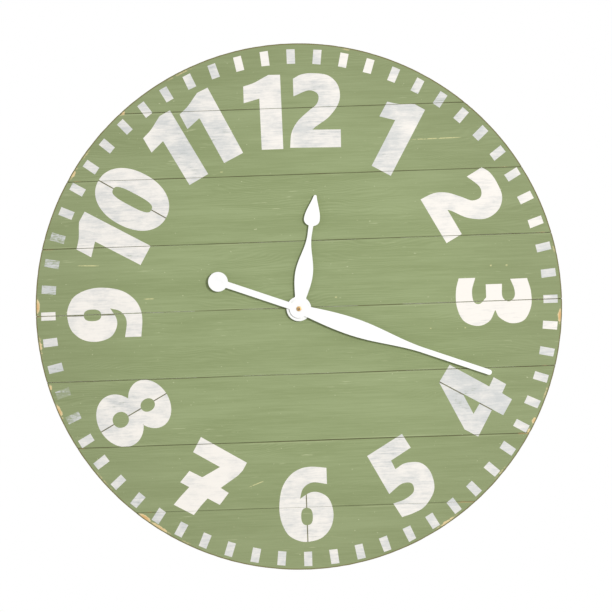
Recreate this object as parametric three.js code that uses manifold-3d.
// Round farmhouse wall clock: eight horizontal pine boards on two battens, a
// sawtooth hanger, and a battery quartz movement that turns two spade hands.
//
// Frame, in millimetres: +X is right and +Z is up as the dial is read. The dial
// faces -Y. The origin is the hook point: y = 0 is the wall, and the centre
// notch of the hanger is at x = 0, z = 0.

import * as THREE from 'three';
import { mergeVertices } from 'three/addons/utils/BufferGeometryUtils.js';
import Module from 'manifold-3d';

const wasm = await Module();
wasm.setup();

// ------------------------------------------------------- driving dimensions

// The dial's boards are nominal 1x4 lumber, 19 mm thick, on an 88.9 mm pitch.
const DISC_RADIUS = 351.6;
const BOARD_COUNT = 8;
const BOARD_PITCH = 88.9;
const BOARD_THICKNESS = 19;
const SEAM_GAP = 0.5;
const SPINDLE_HOLE_RADIUS = 4.7;

// Heights of the hands' axis, of the disc's centre and of the middle seam.
const HANDS_Z = -215;
const DISC_Z = HANDS_Z + 3;
const MIDDLE_SEAM_Z = HANDS_Z + 1.6;

const BATTEN = { x: 110, width: 60, halfLength: 305, thickness: 19 };
const RAIL = { halfLength: 79.5, low: -14, high: 26 };
const BUMPER = { radius: 6, thickness: 3, fromBattenEnd: 8 };
const SCREW = { length: 32, point: 4, shank: 1.9, neckDepth: 2.8, head: 4, headDepth: 0.3, sides: 8 };
const SCREW_FROM_BATTEN_END = 20;

// Depths: each face's y, from the wall forwards.
const BATTEN_BACK_Y = -BUMPER.thickness;
const BOARD_BACK_Y = BATTEN_BACK_Y - BATTEN.thickness;
const DIAL_Y = BOARD_BACK_Y - BOARD_THICKNESS;
const GASKET_THICKNESS = 1;
const CASE_FRONT_Y = BOARD_BACK_Y + GASKET_THICKNESS;

// The movement's case, square as the dial is read. Depths inside it are counted
// backwards from its front face.
const CASE = { half: 28, depth: 16, wall: 1.2, corner: 3 };
const PARTITION = { low: -11, high: -10 };
const BATTERY = { radius: 7.25, z: -19.2, depth: 8.6, minus: -24.4, plus: 24.8, nub: 26.1 };
const BATTERY_SHOULDER = 0.5;
const BATTERY_NUB_RADIUS = 2.75;

// Axes of the movement's arbors, from the hands' axis.
const THIRD_AXIS = [8.5, 0];
const MOTION_DISTANCE = 8.4;
const MOTION_AXIS = polar(MOTION_DISTANCE, 75);
const SETTING_AXIS = offset(MOTION_AXIS, polar(MOTION_DISTANCE, 60));
const FIFTH_AXIS = polar(8.75, 150);
const ROTOR_AXIS = offset(FIFTH_AXIS, polar(7.2, 100));
const CENTRE = [0, 0];

// Gears: teeth, module, and depths of the front and back faces.
const GEARS = {
  hourWheel: { teeth: 40, module: 0.336, front: 2.3, back: 3.3 },
  motionPinion: { teeth: 10, module: 0.336, front: 2.2, back: 3.4 },
  motionWheel: { teeth: 36, module: 0.35, front: 3.7, back: 4.6 },
  minutePinion: { teeth: 12, module: 0.35, front: 3.6, back: 4.7 },
  settingPinion: { teeth: 12, module: 0.35, front: 3.6, back: 4.7 },
  centreWheel: { teeth: 60, module: 0.25, front: 6.3, back: 7.2 },
  thirdPinion: { teeth: 8, module: 0.25, front: 6.2, back: 7.4 },
  thirdWheel: { teeth: 64, module: 8.5 / 36, front: 7.7, back: 8.5 },
  secondsPinion: { teeth: 8, module: 8.5 / 36, front: 7.6, back: 8.6 },
  secondsWheel: { teeth: 60, module: 0.25, front: 9.2, back: 9.9 },
  fifthPinion: { teeth: 10, module: 0.25, front: 9.1, back: 10 },
  fifthWheel: { teeth: 60, module: 0.2, front: 10.5, back: 11.1 },
  rotorPinion: { teeth: 12, module: 0.2, front: 10.4, back: 11.2 },
};

const TRAIN_PLATE = { front: 5, back: 6, edgeGap: 0.8 };
const SETTING = { shaft: 1.5, knob: 5, knobFront: 16.3, knobBack: 18.5, ridges: 20, ridgeDepth: 0.5 };
const ROTOR = { radius: 3, front: 7, back: 10 };
const LID = { front: 14.6, back: 16, edgeGap: 0.2 };
const ARBOR_RADIUS = 0.45;
const ARBOR_FRONT = 5.2;
const BOSS = { radius: 1.1, front: 12.2, holeBack: 14.2 };
const ARBOR_BACK = 14;

// The nested spindle: threaded bush, hour pipe, minute arbor, seconds arbor.
const BUSH = { radius: 4, bore: 2.65, frontY: -46, chamfer: 0.4, flange: 6.5, flangeThickness: 0.8 };
const HOUR_PIPE = { radius: 2.5, bore: 1.75, frontY: -49.5 };
const MINUTE_ARBOR = { radius: 1.6, bore: 0.6, frontY: -54.9 };
const SECONDS_ARBOR_FRONT_Y = -55.6;
const HOUR_HAND = { frontY: -48.6, backY: -47.6, hub: 16.4, collet: 4.5, colletBackY: -46.4 };
const MINUTE_HAND = { frontY: -52.2, backY: -51.2, hub: 12.4 };
const HAND_NUT = { radius: 3.35, frontY: -54.2, backY: -52.3, chamfer: 0.5 };

// Gaps: between pieces that fit closely, round a pivot, and round what only has to pass.
const FIT_GAP = 0.1;
const PIVOT_GAP = 0.15;
const CLEARANCE = 0.3;

// The time that the hands show: degrees clockwise from twelve.
const MINUTE_ANGLE = 110.4;
const HOUR_ANGLE = 10.2;

// ---------------------------------------------------------------- materials

function material(color, roughness, metalness) {
  return new THREE.MeshStandardMaterial({ color, roughness, metalness });
}

const paintedWood = () => material(0x93a376, 0.75, 0);
const bareWood = () => material(0xc79f6b, 0.8, 0);
const steel = () => material(0xb9bcc0, 0.35, 1);
const brass = () => material(0xc8a24a, 0.3, 1);
const rubber = () => material(0x2a2a2a, 0.85, 0);
const blackPlastic = () => material(0x1d1e20, 0.5, 0);
const whitePlastic = () => material(0xf0efe8, 0.4, 0);
const whiteMetal = () => material(0xffffff, 0.45, 0.1);
const copper = () => material(0xb8683a, 0.4, 0.8);
const boardGreen = () => material(0x1f6b3a, 0.5, 0);
const magnet = () => material(0x4a4c50, 0.5, 0.7);
const batterySleeve = () => material(0x3a4350, 0.35, 0.2);

// ------------------------------------------------------------ small helpers

function polar(radius, degrees) {
  const angle = THREE.MathUtils.degToRad(degrees);
  return [radius * Math.cos(angle), radius * Math.sin(angle)];
}

function offset(point, by) {
  return [point[0] + by[0], point[1] + by[1]];
}

function caseDepth(depth) {
  return CASE_FRONT_Y + depth;
}

// Welds a geometry's vertices and drops the slivers that collapse on an axis.
function weld(geometry) {
  geometry.deleteAttribute('normal');
  geometry.deleteAttribute('uv');
  const welded = mergeVertices(geometry);
  const index = welded.getIndex().array;
  const kept = [];
  for (let i = 0; i < index.length; i += 3) {
    const [a, b, c] = [index[i], index[i + 1], index[i + 2]];
    if (a !== b && b !== c && c !== a) kept.push(a, b, c);
  }
  welded.setIndex(kept);
  return welded;
}

function toManifold(geometry) {
  const welded = weld(geometry);
  return new wasm.Manifold(new wasm.Mesh({
    numProp: 3,
    vertProperties: Float32Array.from(welded.getAttribute('position').array),
    triVerts: Uint32Array.from(welded.getIndex().array),
  }));
}

function fromManifold(manifold) {
  const mesh = manifold.getMesh();
  const geometry = new THREE.BufferGeometry();
  geometry.setAttribute('position', new THREE.BufferAttribute(mesh.vertProperties, 3));
  geometry.setIndex(Array.from(mesh.triVerts));
  return geometry;
}

function join(...geometries) {
  return fromManifold(geometries.map(toManifold).reduce((sum, next) => sum.add(next)));
}

function cut(geometry, ...tools) {
  return fromManifold(tools.map(toManifold).reduce((left, tool) => left.subtract(tool), toManifold(geometry)));
}

// A box between two corners.
function block(low, high) {
  const size = high.map((value, axis) => value - low[axis]);
  const centre = high.map((value, axis) => (value + low[axis]) / 2);
  return new THREE.BoxGeometry(...size).translate(...centre);
}

// A flat plate: an outline in x and z, between two depths y.
function plate(outline, yFront, yBack, curveSegments = 8) {
  const settings = { depth: yBack - yFront, bevelEnabled: false, curveSegments };
  return new THREE.ExtrudeGeometry(outline, settings).rotateX(Math.PI / 2).translate(0, yBack, 0);
}

// A body turned about the Y axis: its profile is [radius, y] points, going
// round the section from the front of the axis to the back of it.
function turned(profile, segments = 16) {
  return new THREE.LatheGeometry(profile.map(([r, y]) => new THREE.Vector2(r, y)), segments);
}

function rod(radius, yFront, yBack, segments = 16) {
  return turned([[0, yFront], [radius, yFront], [radius, yBack], [0, yBack]], segments);
}

function tube(radius, bore, yFront, yBack, segments = 24) {
  const section = [[bore, yFront], [radius, yFront], [radius, yBack], [bore, yBack], [bore, yFront]];
  return turned(section, segments);
}

// Moves a geometry that is centred on the Y axis to a point of the movement.
function atMovement(geometry, [x, z] = CENTRE) {
  return geometry.translate(x, 0, HANDS_Z + z);
}

const clock = new THREE.Group();

function add(name, geometry, itsMaterial) {
  const mesh = new THREE.Mesh(weld(geometry), itsMaterial);
  mesh.name = name;
  clock.add(mesh);
}

// ------------------------------------------------------------- wooden parts

// One board's outline, about the disc's centre: two flat edges, two arcs.
function boardOutline(low, high) {
  const start = Math.asin(Math.max(low / DISC_RADIUS, -1));
  const end = Math.asin(Math.min(high / DISC_RADIUS, 1));
  const outline = new THREE.Shape();
  outline.absarc(0, 0, DISC_RADIUS, start, end, false);
  outline.absarc(0, 0, DISC_RADIUS, Math.PI - end, Math.PI - start, false);
  outline.closePath();
  return outline;
}

// Height of the middle of each screw: the middle of a board, or for the outer
// two boards a fixed distance in from the batten's end.
function screwHeights() {
  const heights = [];
  const outermost = BATTEN.halfLength - SCREW_FROM_BATTEN_END;
  for (let board = 0; board < BOARD_COUNT; board += 1) {
    const middle = MIDDLE_SEAM_Z - DISC_Z + (BOARD_COUNT / 2 - board - 0.5) * BOARD_PITCH;
    heights.push(DISC_Z + THREE.MathUtils.clamp(middle, -outermost, outermost));
  }
  return heights;
}

const SCREW_TIP_Y = BATTEN_BACK_Y - SCREW.length;
const SCREW_NECK_Y = BATTEN_BACK_Y - SCREW.neckDepth;
const SCREW_HEAD_Y = BATTEN_BACK_Y - SCREW.headDepth;

function screw(x, z) {
  const profile = [
    [0, SCREW_TIP_Y],
    [SCREW.shank, SCREW_TIP_Y + SCREW.point],
    [SCREW.shank, SCREW_NECK_Y],
    [SCREW.head, SCREW_HEAD_Y],
    [0, SCREW_HEAD_Y],
  ];
  return turned(profile, SCREW.sides).translate(x, 0, z);
}

// The countersunk hole that a screw sits in, through batten and into board.
function screwHole(x, z) {
  const shank = SCREW.shank + CLEARANCE;
  const head = SCREW.head + CLEARANCE;
  const profile = [
    [0, SCREW_TIP_Y - CLEARANCE],
    [shank, SCREW_TIP_Y - CLEARANCE],
    [shank, SCREW_NECK_Y],
    [head, SCREW_HEAD_Y],
    [head, 0],
    [0, 0],
  ];
  return turned(profile, SCREW.sides).translate(x, 0, z);
}

function screwHolesAt(z) {
  return [-BATTEN.x, BATTEN.x].map((x) => screwHole(x, z));
}

function addBoards() {
  const heights = screwHeights();
  for (let board = 0; board < BOARD_COUNT; board += 1) {
    const seamBelow = MIDDLE_SEAM_Z - DISC_Z + (BOARD_COUNT / 2 - board - 1) * BOARD_PITCH;
    const low = seamBelow + SEAM_GAP / 2;
    const high = seamBelow + BOARD_PITCH - SEAM_GAP / 2;
    const timber = plate(boardOutline(low, high), DIAL_Y, BOARD_BACK_Y, 12).translate(0, 0, DISC_Z);
    const tools = screwHolesAt(heights[board]);
    const meetsSpindle = Math.abs(board + 0.5 - BOARD_COUNT / 2) < 1;
    if (meetsSpindle) tools.push(atMovement(rod(SPINDLE_HOLE_RADIUS, DIAL_Y - 1, BOARD_BACK_Y + 1, 24)));
    add(`board_${board + 1}`, cut(timber, ...tools), paintedWood());
  }
}

function addBattens() {
  const heights = screwHeights();
  for (const [side, x] of [['left', -BATTEN.x], ['right', BATTEN.x]]) {
    const low = [x - BATTEN.width / 2, BOARD_BACK_Y, DISC_Z - BATTEN.halfLength];
    const high = [x + BATTEN.width / 2, BATTEN_BACK_Y, DISC_Z + BATTEN.halfLength];
    add(`${side}_batten`, cut(block(low, high), ...heights.map((z) => screwHole(x, z))), bareWood());
    heights.forEach((z, board) => add(`${side}_batten_screw_${board + 1}`, screw(x, z), steel()));
    const bumper = rod(BUMPER.radius, BATTEN_BACK_Y, 0, 20);
    const bumperZ = DISC_Z - BATTEN.halfLength + BUMPER.fromBattenEnd;
    add(`${side}_bumper`, bumper.translate(x, 0, bumperZ), rubber());
  }
}

// ------------------------------------------------------------------- hanger

// The sawtooth hanger is a strip with its toothed middle bowed off the wood.
const HANGER = { half: 22.5, tab: 16, bow: 13, bend: 0.3, thickness: 0.8, lift: 1.2, tooth: 1.6, height: 10 };
const NAIL = { x: 19.3, point: 2, shank: 0.8, head: 1.7, headThickness: 0.5, tipY: -15 };
const NAIL_HEAD_GAP = 0.05;
const NOTCH_COUNT = 11;
const NOTCH_PITCH = 2.3;
const TOOTH_TIP = 0.3;

function hangerStrip() {
  const back = BATTEN_BACK_Y + HANGER.thickness;
  const path = new THREE.Shape();
  path.moveTo(-HANGER.half, BATTEN_BACK_Y);
  path.lineTo(-HANGER.tab, BATTEN_BACK_Y);
  path.lineTo(-HANGER.bow, BATTEN_BACK_Y + HANGER.lift);
  path.lineTo(HANGER.bow, BATTEN_BACK_Y + HANGER.lift);
  path.lineTo(HANGER.tab, BATTEN_BACK_Y);
  path.lineTo(HANGER.half, BATTEN_BACK_Y);
  path.lineTo(HANGER.half, back);
  path.lineTo(HANGER.tab - HANGER.bend, back);
  path.lineTo(HANGER.bow - HANGER.bend, back + HANGER.lift);
  path.lineTo(HANGER.bend - HANGER.bow, back + HANGER.lift);
  path.lineTo(HANGER.bend - HANGER.tab, back);
  path.lineTo(-HANGER.half, back);
  path.closePath();
  const strip = new THREE.ExtrudeGeometry(path, { depth: HANGER.height, bevelEnabled: false });
  return strip.translate(0, 0, -HANGER.tooth);
}

function notch(x) {
  const low = -HANGER.tooth - 0.4;
  const outline = new THREE.Shape();
  outline.moveTo(x, 0);
  outline.lineTo(x - (NOTCH_PITCH - TOOTH_TIP) / 2, low);
  outline.lineTo(x + (NOTCH_PITCH - TOOTH_TIP) / 2, low);
  outline.closePath();
  return plate(outline, BATTEN_BACK_Y - 1, 1);
}

function addHanger() {
  const railBlock = block([-RAIL.halfLength, BOARD_BACK_Y, RAIL.low], [RAIL.halfLength, BATTEN_BACK_Y, RAIL.high]);
  const nailZ = HANGER.height / 2 - HANGER.tooth;
  const headFront = BATTEN_BACK_Y + HANGER.thickness + NAIL_HEAD_GAP;
  const nailProfile = [
    [0, NAIL.tipY],
    [NAIL.shank, NAIL.tipY + NAIL.point],
    [NAIL.shank, headFront],
    [NAIL.head, headFront],
    [NAIL.head, headFront + NAIL.headThickness],
    [0, headFront + NAIL.headThickness],
  ];
  const sides = [['left', -NAIL.x], ['right', NAIL.x]];
  const hole = (x) => rod(NAIL.shank + PIVOT_GAP, NAIL.tipY - CLEARANCE, 1, 10).translate(x, 0, nailZ);
  const notches = [];
  for (let i = 0; i < NOTCH_COUNT; i += 1) {
    notches.push(notch((i - (NOTCH_COUNT - 1) / 2) * NOTCH_PITCH));
  }
  add('hanging_rail', cut(railBlock, ...sides.map(([, x]) => hole(x))), bareWood());
  add('sawtooth_hanger', cut(hangerStrip(), ...notches, ...sides.map(([, x]) => hole(x))), steel());
  sides.forEach(([side, x]) => {
    add(`${side}_hanger_nail`, turned(nailProfile, 10).translate(x, 0, nailZ), steel());
  });
}

// -------------------------------------------------------------------- gears

// Tooth heights are in modules, and widths are shares of the tooth's pitch. A
// wheel's teeth come to a point, and a pinion's leaves have a flat tip.
const TOOTH = { addendum: 0.8, dedendum: 1.15, wheelRoot: 0.78, leafRoot: 0.62, leafTip: 0.22 };
const MOST_PINION_LEAVES = 12;

function toothCorners(teeth, root, tip) {
  if (teeth > MOST_PINION_LEAVES) {
    return [[root, -TOOTH.wheelRoot / 2], [tip, 0], [root, TOOTH.wheelRoot / 2]];
  }
  return [
    [root, -TOOTH.leafRoot / 2],
    [tip, -TOOTH.leafTip / 2],
    [tip, TOOTH.leafTip / 2],
    [root, TOOTH.leafRoot / 2],
  ];
}

// A gear's outline about its own centre. Phase is the angle of one tooth.
function gearOutline({ teeth, module }, phase) {
  const pitch = (teeth * module) / 2;
  const corners = toothCorners(teeth, pitch - TOOTH.dedendum * module, pitch + TOOTH.addendum * module);
  const step = (2 * Math.PI) / teeth;
  const points = [];
  for (let tooth = 0; tooth < teeth; tooth += 1) {
    for (const [radius, share] of corners) {
      const angle = phase + (tooth + share) * step;
      points.push(new THREE.Vector2(radius * Math.cos(angle), radius * Math.sin(angle)));
    }
  }
  return new THREE.Shape(points);
}

// The phase that puts a gear's gap where the gear it follows has a tooth.
function meshingPhase(driver, driverAxis, driverPhase, gear, axis) {
  const line = Math.atan2(axis[1] - driverAxis[1], axis[0] - driverAxis[0]);
  return line + Math.PI - (Math.PI - driver.teeth * (line - driverPhase)) / gear.teeth;
}

function gearSolid(gear, phase) {
  return plate(gearOutline(gear, phase), caseDepth(gear.front), caseDepth(gear.back));
}

const MOTION_WHEEL_PHASE = meshingPhase(GEARS.minutePinion, CENTRE, 0, GEARS.motionWheel, MOTION_AXIS);

// ----------------------------------------------------------- train of wheels

// A wheel and a pinion on one plain arbor.
function arborWith(frontDepth, backDepth, ...gears) {
  const staff = rod(ARBOR_RADIUS, caseDepth(frontDepth), caseDepth(backDepth), 12);
  return join(staff, ...gears);
}

function addTrain() {
  const thirdPinionPhase = meshingPhase(GEARS.centreWheel, CENTRE, 0, GEARS.thirdPinion, THIRD_AXIS);
  const third = arborWith(
    ARBOR_FRONT,
    ARBOR_BACK,
    gearSolid(GEARS.thirdPinion, thirdPinionPhase),
    gearSolid(GEARS.thirdWheel, 0),
  );
  add('third_wheel', atMovement(third, THIRD_AXIS), whitePlastic());

  const fifthPinionPhase = meshingPhase(GEARS.secondsWheel, CENTRE, 0, GEARS.fifthPinion, FIFTH_AXIS);
  const fifth = arborWith(
    ARBOR_FRONT,
    ARBOR_BACK,
    gearSolid(GEARS.fifthPinion, fifthPinionPhase),
    gearSolid(GEARS.fifthWheel, 0),
  );
  add('fifth_wheel', atMovement(fifth, FIFTH_AXIS), whitePlastic());

  const rotorPinionPhase = meshingPhase(GEARS.fifthWheel, FIFTH_AXIS, 0, GEARS.rotorPinion, ROTOR_AXIS);
  const rotor = arborWith(
    ARBOR_FRONT,
    ARBOR_BACK,
    gearSolid(GEARS.rotorPinion, rotorPinionPhase),
    rod(ROTOR.radius, caseDepth(ROTOR.front), caseDepth(ROTOR.back), 20),
  );
  add('rotor', atMovement(rotor, ROTOR_AXIS), magnet());

  const secondsPinionPhase = meshingPhase(GEARS.thirdWheel, THIRD_AXIS, 0, GEARS.secondsPinion, CENTRE);
  const seconds = join(
    rod(ARBOR_RADIUS, SECONDS_ARBOR_FRONT_Y, caseDepth(ARBOR_BACK), 12),
    gearSolid(GEARS.secondsPinion, secondsPinionPhase),
    gearSolid(GEARS.secondsWheel, 0),
  );
  add('seconds_wheel', atMovement(seconds), whitePlastic());

  const centreBore = rod(MINUTE_ARBOR.radius + FIT_GAP, caseDepth(6), caseDepth(8), 20);
  add('centre_wheel', atMovement(cut(gearSolid(GEARS.centreWheel, 0), centreBore)), whitePlastic());

  const minuteStaff = rod(MINUTE_ARBOR.radius, MINUTE_ARBOR.frontY, caseDepth(7.3), 20);
  const minuteBore = rod(MINUTE_ARBOR.bore, MINUTE_ARBOR.frontY - 1, caseDepth(8), 12);
  const minute = cut(join(minuteStaff, gearSolid(GEARS.minutePinion, 0)), minuteBore);
  add('minute_arbor', atMovement(minute), steel());
}

const MOTION_POST = { radius: 0.6, front: 1.6, back: TRAIN_PLATE.back - 0.2 };
const MOTION_COLLAR = { radius: 1.2, front: 3.3, back: 3.8 };

// The hour wheel, the motion wheel and the knob that sets the hands.
function addMotionWork() {
  const motion = join(
    rod(MOTION_POST.radius, caseDepth(MOTION_POST.front), caseDepth(MOTION_POST.back), 12),
    gearSolid(GEARS.motionPinion, 0),
    gearSolid(GEARS.motionWheel, MOTION_WHEEL_PHASE),
    rod(MOTION_COLLAR.radius, caseDepth(MOTION_COLLAR.front), caseDepth(MOTION_COLLAR.back), 12),
  );
  add('motion_wheel', atMovement(motion, MOTION_AXIS), whitePlastic());

  const hourPhase = meshingPhase(GEARS.motionPinion, MOTION_AXIS, 0, GEARS.hourWheel, CENTRE);
  const pipe = rod(HOUR_PIPE.radius, HOUR_PIPE.frontY, caseDepth(3.4), 24);
  const pipeBore = rod(HOUR_PIPE.bore, HOUR_PIPE.frontY - 1, caseDepth(4), 24);
  const hour = cut(join(pipe, gearSolid(GEARS.hourWheel, hourPhase)), pipeBore);
  add('hour_wheel', atMovement(hour), whitePlastic());

  const settingPhase = meshingPhase(
    GEARS.motionWheel,
    MOTION_AXIS,
    MOTION_WHEEL_PHASE,
    GEARS.settingPinion,
    SETTING_AXIS,
  );
  const knob = join(
    rod(SETTING.shaft, caseDepth(3.4), caseDepth(SETTING.knobFront + 0.1), 16),
    gearSolid(GEARS.settingPinion, settingPhase),
    plate(knurledOutline(), caseDepth(SETTING.knobFront), caseDepth(SETTING.knobBack)),
  );
  add('setting_knob', atMovement(knob, SETTING_AXIS), blackPlastic());
}

function knurledOutline() {
  const points = [];
  for (let ridge = 0; ridge < SETTING.ridges; ridge += 1) {
    const angle = (360 * ridge) / SETTING.ridges;
    points.push(new THREE.Vector2(...polar(SETTING.knob, angle)));
    points.push(new THREE.Vector2(...polar(SETTING.knob - SETTING.ridgeDepth, angle + 180 / SETTING.ridges)));
  }
  return new THREE.Shape(points);
}

// ------------------------------------------------------------ movement case

function roundedSquare(half, radius) {
  const outline = new THREE.Shape();
  const inner = half - radius;
  outline.absarc(inner, inner, radius, 0, Math.PI / 2, false);
  outline.absarc(-inner, inner, radius, Math.PI / 2, Math.PI, false);
  outline.absarc(-inner, -inner, radius, Math.PI, 1.5 * Math.PI, false);
  outline.absarc(inner, -inner, radius, 1.5 * Math.PI, 2 * Math.PI, false);
  outline.closePath();
  return outline;
}

// A box in the movement: x and z from the hands' axis, depths from the front.
function movementBlock([x0, x1], [d0, d1], [z0, z1]) {
  return block([x0, caseDepth(d0), HANDS_Z + z0], [x1, caseDepth(d1), HANDS_Z + z1]);
}

const CASE_INNER = CASE.half - CASE.wall;
const CONTACT = { thickness: 0.4, front: 7, back: 11, fromWall: 0.2, end: 24, bend: -14 };

function addCase() {
  const shell = atMovement(plate(roundedSquare(CASE.half, CASE.corner), CASE_FRONT_Y, caseDepth(CASE.depth), 4));
  const across = [-CASE_INNER, CASE_INNER];
  const openBack = [CASE.wall, CASE.depth + 1];
  const slot = [CONTACT.front - CLEARANCE, CONTACT.back + CLEARANCE];
  const partition = [PARTITION.low - FIT_GAP, PARTITION.high + FIT_GAP];
  const inside = [
    movementBlock(across, openBack, [PARTITION.high, CASE_INNER]),
    movementBlock(across, openBack, [-CASE_INNER, PARTITION.low]),
    movementBlock([CASE_INNER - 1, CASE_INNER], slot, partition),
    movementBlock([-CASE_INNER, 1 - CASE_INNER], slot, partition),
    atMovement(rod(BUSH.radius + 0.2, caseDepth(-1), caseDepth(2), 24)),
  ];
  add('movement_case', cut(shell, ...inside), blackPlastic());
}

function addLid() {
  const reach = CASE_INNER - LID.edgeGap;
  const cover = movementBlock([-reach, reach], [LID.front, LID.back], [PARTITION.high + LID.edgeGap, reach]);
  const bearings = [CENTRE, THIRD_AXIS, FIFTH_AXIS, ROTOR_AXIS];
  const bosses = bearings.map((axis) => {
    return atMovement(rod(BOSS.radius, caseDepth(BOSS.front), caseDepth(LID.front + 0.1), 12), axis);
  });
  const holes = bearings.map((axis) => {
    return atMovement(rod(ARBOR_RADIUS + PIVOT_GAP, caseDepth(BOSS.front - 1), caseDepth(BOSS.holeBack), 12), axis);
  });
  const shaftHole = atMovement(rod(SETTING.shaft + CLEARANCE, caseDepth(14), caseDepth(17), 16), SETTING_AXIS);
  add('movement_lid', cut(join(cover, ...bosses), ...holes, shaftHole), blackPlastic());
}

// The plate between the motion work in front and the train of wheels behind.
function addTrainPlate() {
  const reach = CASE_INNER - TRAIN_PLATE.edgeGap;
  const depths = [TRAIN_PLATE.front, TRAIN_PLATE.back];
  const sheet = movementBlock([-reach, reach], depths, [PARTITION.high + CLEARANCE, reach]);
  const hole = (radius, axis) => atMovement(rod(radius, caseDepth(4), caseDepth(7), 12), axis);
  const holes = [
    hole(MINUTE_ARBOR.radius + CLEARANCE, CENTRE),
    hole(ARBOR_RADIUS + PIVOT_GAP, THIRD_AXIS),
    hole(ARBOR_RADIUS + PIVOT_GAP, FIFTH_AXIS),
    hole(ARBOR_RADIUS + PIVOT_GAP, ROTOR_AXIS),
    hole(MOTION_POST.radius + PIVOT_GAP, MOTION_AXIS),
    hole(SETTING.shaft + CLEARANCE, SETTING_AXIS),
  ];
  add('train_plate', cut(sheet, ...holes), whitePlastic());
}

// ---------------------------------------------------------- motor and power

const COIL = { z: 21, depth: 9.5, left: -21.2, right: -1, flange: 3.3, flangeWidth: 1, winding: 3, wall: 0.5 };
const WINDING_END_GAP = 0.2;
const CORE = { halfHeight: 1.6, halfDepth: 0.5, left: -24.2, right: 2.2 };
const STATOR = { front: 8, back: 9, ring: 5.5, legWidth: 2.7, armHalf: 1.6, airGap: 0.4 };

function addMotor() {
  const [rx, rz] = ROTOR_AXIS;
  const depths = [STATOR.front, STATOR.back];
  const legTop = COIL.z + CORE.halfHeight;
  const armBottom = rz - STATOR.armHalf;
  const ring = atMovement(rod(STATOR.ring, caseDepth(STATOR.front), caseDepth(STATOR.back), 24), ROTOR_AXIS);
  const leftLeg = movementBlock([CORE.left, CORE.left + STATOR.legWidth], depths, [armBottom, legTop]);
  const rightLeg = movementBlock([CORE.right - STATOR.legWidth, CORE.right], depths, [armBottom, legTop]);
  const arms = movementBlock([CORE.left, CORE.right], depths, [armBottom, rz + STATOR.armHalf]);
  const gap = atMovement(rod(ROTOR.radius + STATOR.airGap, caseDepth(7), caseDepth(10), 24), [rx, rz]);
  add('stator', cut(join(ring, leftLeg, rightLeg, arms), gap), steel());

  const core = movementBlock(
    [CORE.left, CORE.right],
    [COIL.depth - CORE.halfDepth, COIL.depth + CORE.halfDepth],
    [COIL.z - CORE.halfHeight, COIL.z + CORE.halfHeight],
  );
  add('coil_core', core, steel());

  const around = (halfDepth, halfHeight, [x0, x1]) => movementBlock(
    [x0, x1],
    [COIL.depth - halfDepth, COIL.depth + halfDepth],
    [COIL.z - halfHeight, COIL.z + halfHeight],
  );
  const flange = (x) => around(COIL.flange, COIL.flange, [x, x + COIL.flangeWidth]);
  const holeDepth = CORE.halfDepth + FIT_GAP;
  const holeHeight = CORE.halfHeight + FIT_GAP;
  const sleeveDepth = holeDepth + COIL.wall;
  const sleeveHeight = holeHeight + COIL.wall;
  const sleeve = around(sleeveDepth, sleeveHeight, [COIL.left, COIL.right]);
  const coreHole = around(holeDepth, holeHeight, [COIL.left - 1, COIL.right + 1]);
  const flanges = [flange(COIL.left), flange(COIL.right - COIL.flangeWidth)];
  add('coil_bobbin', cut(join(sleeve, ...flanges), coreHole), whitePlastic());

  const windingLength = COIL.right - COIL.left - 2 * (COIL.flangeWidth + WINDING_END_GAP);
  const wound = new THREE.CylinderGeometry(COIL.winding, COIL.winding, windingLength, 20);
  wound.rotateZ(Math.PI / 2).translate((COIL.left + COIL.right) / 2, caseDepth(COIL.depth), HANDS_Z + COIL.z);
  const sleeveHole = around(sleeveDepth + FIT_GAP, sleeveHeight + FIT_GAP, [COIL.left, COIL.right]);
  add('coil_winding', cut(wound, sleeveHole), copper());
}

// The cell lies across the bay, with its nub end to the right.
function addBattery() {
  const profile = [
    [0, BATTERY.minus],
    [BATTERY.radius - BATTERY_SHOULDER, BATTERY.minus],
    [BATTERY.radius, BATTERY.minus + BATTERY_SHOULDER],
    [BATTERY.radius, BATTERY.plus - BATTERY_SHOULDER],
    [BATTERY.radius - BATTERY_SHOULDER, BATTERY.plus],
    [BATTERY_NUB_RADIUS, BATTERY.plus],
    [BATTERY_NUB_RADIUS, BATTERY.nub],
    [0, BATTERY.nub],
  ];
  const cell = turned(profile, 24).rotateZ(-Math.PI / 2);
  add('battery', cell.translate(0, caseDepth(BATTERY.depth), HANDS_Z + BATTERY.z), batterySleeve());
}

// Each contact is a bent strip that runs up its side wall to the circuit board.
function addContacts() {
  const near = CASE_INNER - CONTACT.fromWall;
  const inner = near - CONTACT.thickness;
  const depths = [caseDepth(CONTACT.front), caseDepth(CONTACT.back)];
  const plusStrip = movementBlock([inner, near], [CONTACT.front, CONTACT.back], [-CONTACT.end, CONTACT.end]);
  add('positive_contact', plusStrip, steel());

  const minusStrip = new THREE.Shape();
  const leafTip = BATTERY.minus - 0.2;
  minusStrip.moveTo(-near, -CONTACT.end);
  minusStrip.lineTo(leafTip - CONTACT.thickness, BATTERY.z);
  minusStrip.lineTo(-near, CONTACT.bend);
  minusStrip.lineTo(-near, near);
  minusStrip.lineTo(CIRCUIT.left + 3, near);
  minusStrip.lineTo(CIRCUIT.left + 3, inner);
  minusStrip.lineTo(-inner, inner);
  minusStrip.lineTo(-inner, CONTACT.bend);
  minusStrip.lineTo(leafTip, BATTERY.z);
  minusStrip.lineTo(-inner, -CONTACT.end);
  minusStrip.closePath();
  add('negative_contact', atMovement(plate(minusStrip, ...depths)), steel());
}

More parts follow.
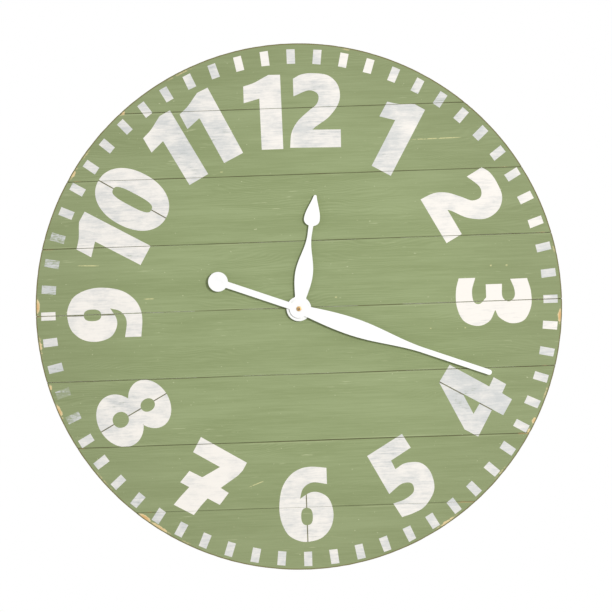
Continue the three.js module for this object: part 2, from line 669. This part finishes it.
const CIRCUIT = { left: 11, right: 26, low: 12, high: 25.9, thickness: 0.8 };
const RESIN_BLOB = { x: 16, z: 20, foot: 2.6, crown: 1.6, footHeight: 0.3, crownHeight: 0.9, height: 1.1 };
const CRYSTAL = { radius: 1, length: 6, x: 19, z: 14.5 };

function addElectronics() {
  const face = TRAIN_PLATE.back + CIRCUIT.thickness;
  const laminate = movementBlock(
    [CIRCUIT.left, CIRCUIT.right],
    [TRAIN_PLATE.back, face],
    [CIRCUIT.low, CIRCUIT.high],
  );
  const sunk = face - CIRCUIT.thickness / 4;
  const blob = turned([
    [0, caseDepth(sunk)],
    [RESIN_BLOB.foot, caseDepth(sunk)],
    [RESIN_BLOB.foot, caseDepth(face + RESIN_BLOB.footHeight)],
    [RESIN_BLOB.crown, caseDepth(face + RESIN_BLOB.crownHeight)],
    [0, caseDepth(face + RESIN_BLOB.height)],
  ], 16);
  add('circuit_board', join(laminate, atMovement(blob, [RESIN_BLOB.x, RESIN_BLOB.z])), boardGreen());
  const can = new THREE.CylinderGeometry(CRYSTAL.radius, CRYSTAL.radius, CRYSTAL.length, 12);
  can.rotateZ(Math.PI / 2);
  can.translate(CRYSTAL.x, caseDepth(face + CRYSTAL.radius + FIT_GAP), HANDS_Z + CRYSTAL.z);
  add('quartz_crystal', can, steel());
}

// ------------------------------------------------------ spindle and its nuts

const WASHER = { radius: 8.5, thickness: 0.8 };
const HEX_NUT = { acrossFlats: 12, thickness: 2.5 };
const GASKET_RADIUS = 14;

function addSpindle() {
  const flangeBack = caseDepth(CASE.wall + BUSH.flangeThickness);
  const bushSection = [
    [BUSH.bore, BUSH.frontY],
    [BUSH.radius - BUSH.chamfer, BUSH.frontY],
    [BUSH.radius, BUSH.frontY + BUSH.chamfer],
    [BUSH.radius, caseDepth(CASE.wall)],
    [BUSH.flange, caseDepth(CASE.wall)],
    [BUSH.flange, flangeBack],
    [BUSH.bore, flangeBack],
    [BUSH.bore, BUSH.frontY],
  ];
  add('threaded_bush', atMovement(turned(bushSection, 24)), brass());

  const clear = BUSH.radius + FIT_GAP;
  add('gasket', atMovement(tube(GASKET_RADIUS, clear, BOARD_BACK_Y, CASE_FRONT_Y, 28)), rubber());
  const washerFront = DIAL_Y - WASHER.thickness;
  add('washer', atMovement(tube(WASHER.radius, clear, washerFront, DIAL_Y)), brass());

  const hexagon = new THREE.Shape();
  const corner = HEX_NUT.acrossFlats / Math.sqrt(3);
  hexagon.setFromPoints([0, 60, 120, 180, 240, 300].map((a) => new THREE.Vector2(...polar(corner, a))));
  const nut = plate(hexagon, washerFront - HEX_NUT.thickness, washerFront);
  const nutBore = rod(clear, washerFront - HEX_NUT.thickness - 1, washerFront + 1, 24);
  add('spindle_nut', atMovement(cut(nut, nutBore)), brass());
}

// -------------------------------------------------------------------- hands

// The places that shape one side of a hand: at is the distance from the axis, half is the half width.
const HOUR_BLADE = { root: { at: 15, half: 7.2 }, widest: { at: 46, half: 11.8 }, neck: { at: 99, half: 2.8 } };
const SPADE = { widest: { at: 120, half: 10.5 }, taperEnd: { at: 160, half: 1 }, base: 8.6, capFrom: 150.8, tip: 153.2 };
const MINUTE_BLADE = { root: { at: 12, half: 6.9 }, widest: { at: 75, half: 11.7 }, neck: { at: 176, half: 3.5 } };
const MINUTE_TIP = 270.3;
const MINUTE_TAIL = { halfWidth: 4, ballAt: 113.5, ball: 13.1 };

const swelling = (share) => Math.sin((share * Math.PI) / 2);
const easing = (share) => (1 - Math.cos(share * Math.PI)) / 2;

// From one place towards the next, as far as the last share. rise says how far the width has gone.
function stretch(from, to, steps, rise, last = 1) {
  const points = [];
  for (let i = 0; i <= steps; i++) {
    const share = (last * i) / steps;
    const half = THREE.MathUtils.lerp(from.half, to.half, rise(share));
    points.push(new THREE.Vector2(half, THREE.MathUtils.lerp(from.at, to.at, share)));
  }
  return points;
}

// Part of an oval, between two angles that run from its near end (0) to its far end (pi).
function roundStretch(at, length, half, start, end, steps) {
  const points = [];
  for (let i = 0; i <= steps; i++) {
    const angle = start + ((end - start) * i) / steps;
    points.push(new THREE.Vector2(half * Math.sin(angle), at - length * Math.cos(angle)));
  }
  return points;
}

// Mirrors the right-hand side of an outline, and closes it at the tip.
function symmetric(rightSide) {
  const leftSide = rightSide.filter((point) => point.x > 0).map((point) => new THREE.Vector2(-point.x, point.y));
  return new THREE.Shape([...rightSide, ...leftSide.reverse()]);
}

function disc(radius, at, segments) {
  const outline = new THREE.Path().absarc(0, at, radius, 0, 2 * Math.PI, false);
  return new THREE.Shape(outline.getPoints(segments));
}

function hourHand() {
  const { root, widest, neck } = HOUR_BLADE;
  const baseStart = Math.asin(neck.half / SPADE.widest.half);
  const taperShare = (SPADE.capFrom - SPADE.widest.at) / (SPADE.taperEnd.at - SPADE.widest.at);
  const taper = stretch(SPADE.widest, SPADE.taperEnd, 8, easing, taperShare);
  const capHalf = taper.at(-1).x;
  const side = [
    ...stretch(root, widest, 7, swelling),
    ...stretch(widest, neck, 11, easing).slice(1),
    ...roundStretch(SPADE.widest.at, SPADE.base, SPADE.widest.half, baseStart, Math.PI / 2, 6),
    ...taper.slice(1),
    ...roundStretch(SPADE.capFrom, SPADE.tip - SPADE.capFrom, capHalf, Math.PI / 2, Math.PI, 3).slice(1, -1),
    new THREE.Vector2(0, SPADE.tip),
  ];
  const leaf = plate(symmetric(side), HOUR_HAND.frontY, HOUR_HAND.backY);
  const hub = plate(disc(HOUR_HAND.hub, 0, 40), HOUR_HAND.frontY, HOUR_HAND.backY);
  const collet = rod(HOUR_HAND.collet, HOUR_HAND.backY - 0.2, HOUR_HAND.colletBackY, 24);
  const bore = rod(HOUR_PIPE.radius + FIT_GAP, HOUR_HAND.frontY - 1, HOUR_HAND.colletBackY + 1, 24);
  return cut(join(leaf, hub, collet), bore);
}

function minuteHand() {
  const { root, widest, neck } = MINUTE_BLADE;
  const side = [
    ...stretch(root, widest, 8, swelling),
    ...stretch(widest, neck, 14, easing).slice(1),
    ...roundStretch(MINUTE_TIP - neck.half, neck.half, neck.half, Math.PI / 2, Math.PI, 4).slice(0, -1),
    new THREE.Vector2(0, MINUTE_TIP),
  ];
  const leaf = plate(symmetric(side), MINUTE_HAND.frontY, MINUTE_HAND.backY);
  const hub = plate(disc(MINUTE_HAND.hub, 0, 36), MINUTE_HAND.frontY, MINUTE_HAND.backY);
  const ball = plate(disc(MINUTE_TAIL.ball, -MINUTE_TAIL.ballAt, 36), MINUTE_HAND.frontY, MINUTE_HAND.backY);
  const tail = block(
    [-MINUTE_TAIL.halfWidth, MINUTE_HAND.frontY, -MINUTE_TAIL.ballAt],
    [MINUTE_TAIL.halfWidth, MINUTE_HAND.backY, 0],
  );
  const bore = rod(MINUTE_ARBOR.radius + FIT_GAP, MINUTE_HAND.frontY - 1, MINUTE_HAND.backY + 1, 20);
  return cut(join(leaf, hub, ball, tail), bore);
}

function addHands() {
  const turn = THREE.MathUtils.degToRad;
  add('hour_hand', atMovement(hourHand().rotateY(turn(HOUR_ANGLE))), whiteMetal());
  add('minute_hand', atMovement(minuteHand().rotateY(turn(MINUTE_ANGLE))), whiteMetal());
  const nutSection = [
    [MINUTE_ARBOR.radius + FIT_GAP, HAND_NUT.frontY],
    [HAND_NUT.radius - HAND_NUT.chamfer, HAND_NUT.frontY],
    [HAND_NUT.radius, HAND_NUT.frontY + HAND_NUT.chamfer],
    [HAND_NUT.radius, HAND_NUT.backY],
    [MINUTE_ARBOR.radius + FIT_GAP, HAND_NUT.backY],
    [MINUTE_ARBOR.radius + FIT_GAP, HAND_NUT.frontY],
  ];
  add('hand_nut', atMovement(turned(nutSection, 20)), brass());
}

// ----------------------------------------------------------------- assembly

addBoards();
addBattens();
addHanger();
addCase();
addLid();
addTrainPlate();
addTrain();
addMotionWork();
addMotor();
addBattery();
addContacts();
addElectronics();
addSpindle();
addHands();

export default clock;
